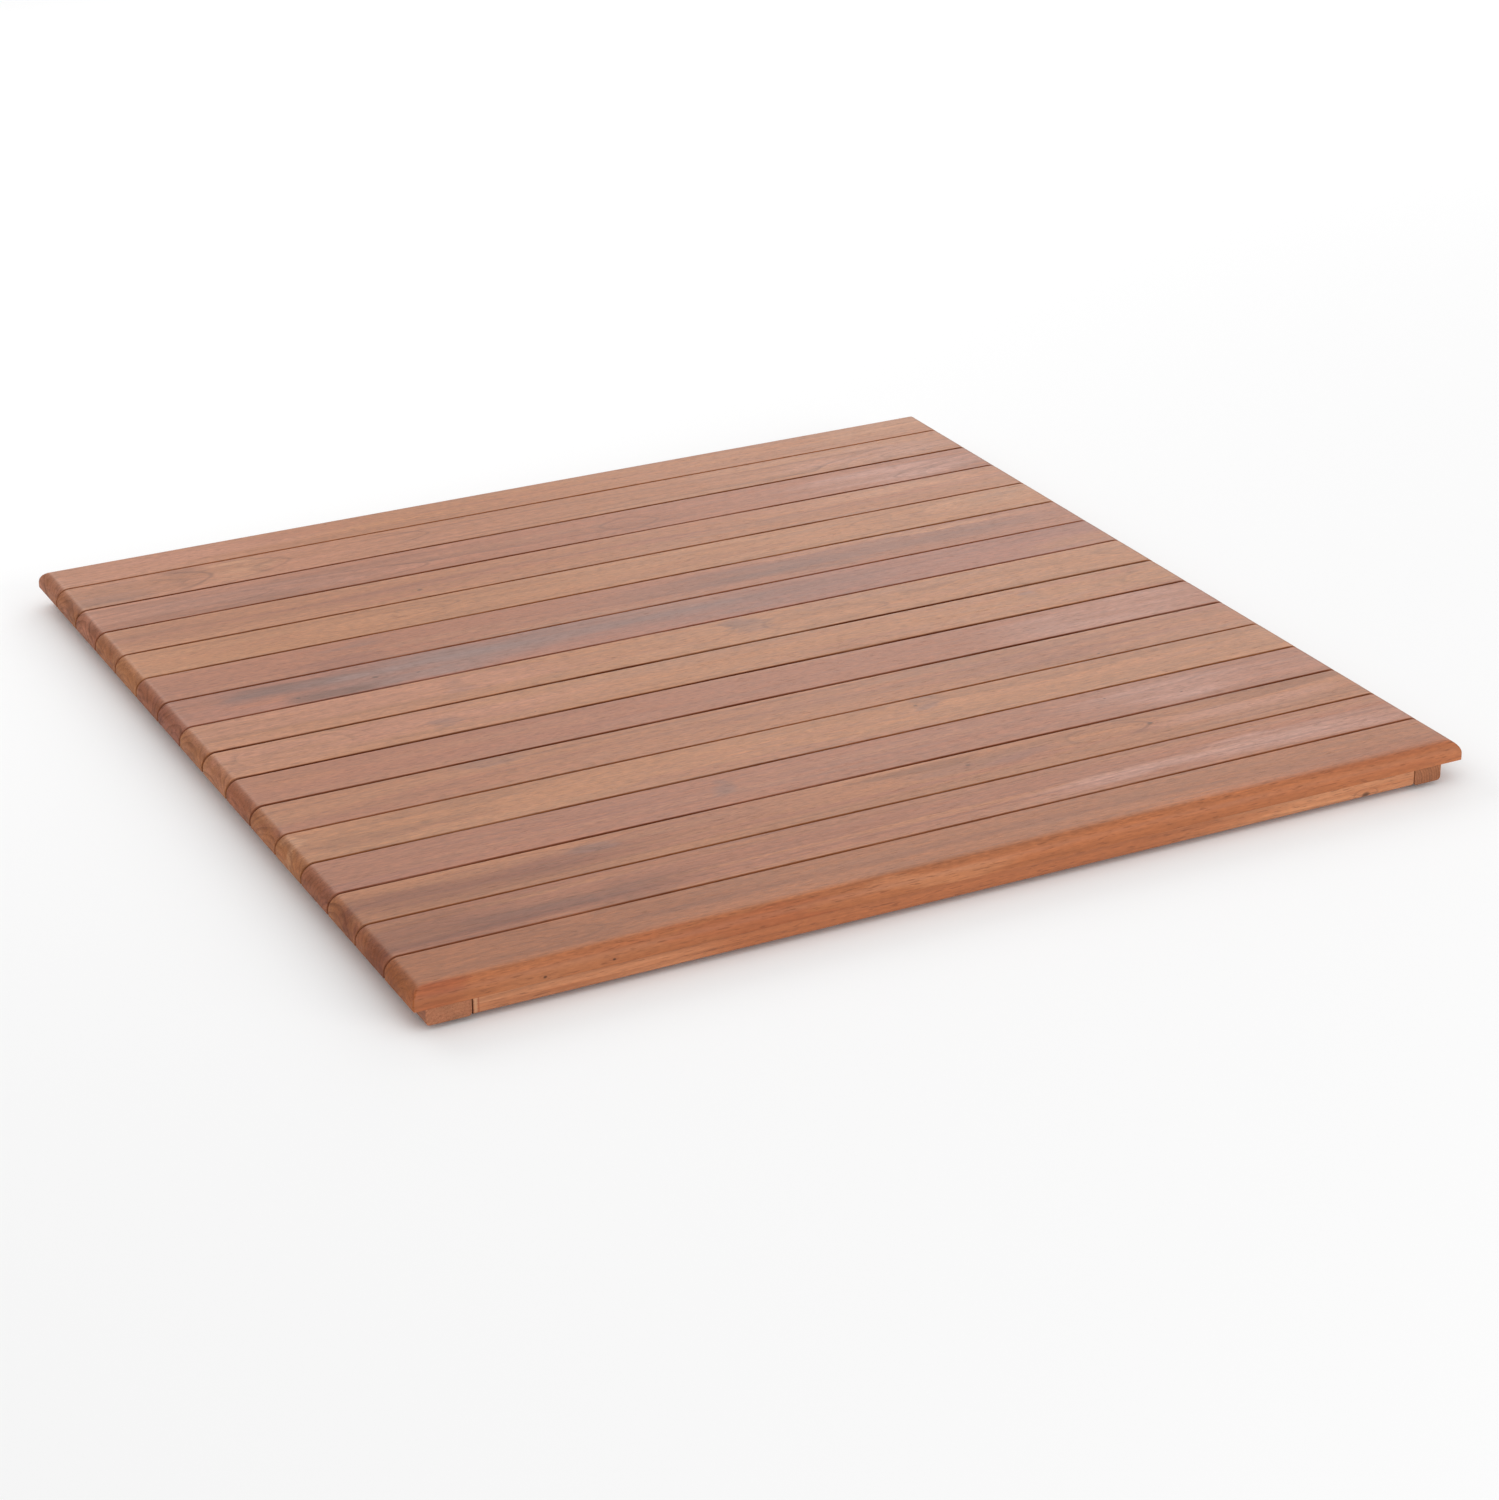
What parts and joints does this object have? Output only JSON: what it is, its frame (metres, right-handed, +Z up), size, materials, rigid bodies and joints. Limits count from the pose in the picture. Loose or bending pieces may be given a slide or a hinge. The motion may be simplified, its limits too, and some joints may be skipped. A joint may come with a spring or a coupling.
{
  "type": "bath mat",
  "caption": "Square slatted hardwood bath mat: round-edged slats laid side by side with hairline drain gaps on a low frame of rails, screwed from below and standing on small rubber feet.",
  "frame": {"origin": "on the floor at the middle of the mat's footprint, level with the soles of the feet", "axes": "+X along the slats from the narrow overhang (left) to the wide one (right), +Y across the slats from front to back, +Z up through the standing surface"},
  "size_m": [0.6, 0.6, 0.0225],
  "materials": {
    "slat_wood": "oiled hardwood, satin, tan to rose brown, each slat its own tone",
    "rail_wood": "oiled hardwood, satin, orange brown",
    "screw_steel": "plain stainless, satin",
    "foot_rubber": "matte, dark grey"
  },
  "bodies": {
    "root": {"slat_01": "slat_wood", "slat_02": "slat_wood", "slat_03": "slat_wood", "slat_04": "slat_wood", "slat_05": "slat_wood", "slat_06": "slat_wood", "slat_07": "slat_wood", "slat_08": "slat_wood", "slat_09": "slat_wood", "slat_10": "slat_wood", "slat_11": "slat_wood", "slat_12": "slat_wood", "slat_13": "slat_wood", "slat_14": "slat_wood", "slat_15": "slat_wood", "slat_16": "slat_wood", "left_rail": "rail_wood", "inner_rail_1": "rail_wood", "inner_rail_2": "rail_wood", "right_rail": "rail_wood", "front_rail": "rail_wood", "back_rail": "rail_wood", "screws_left_rail": "screw_steel", "screws_inner_rail_1": "screw_steel", "screws_inner_rail_2": "screw_steel", "screws_right_rail": "screw_steel", "screws_front_rail": "screw_steel", "screws_back_rail": "screw_steel", "foot_01": "foot_rubber", "foot_02": "foot_rubber", "foot_03": "foot_rubber", "foot_04": "foot_rubber", "foot_05": "foot_rubber", "foot_06": "foot_rubber", "foot_07": "foot_rubber", "foot_08": "foot_rubber", "foot_09": "foot_rubber", "foot_10": "foot_rubber", "foot_11": "foot_rubber", "foot_12": "foot_rubber"}
  },
  "joints": []
}
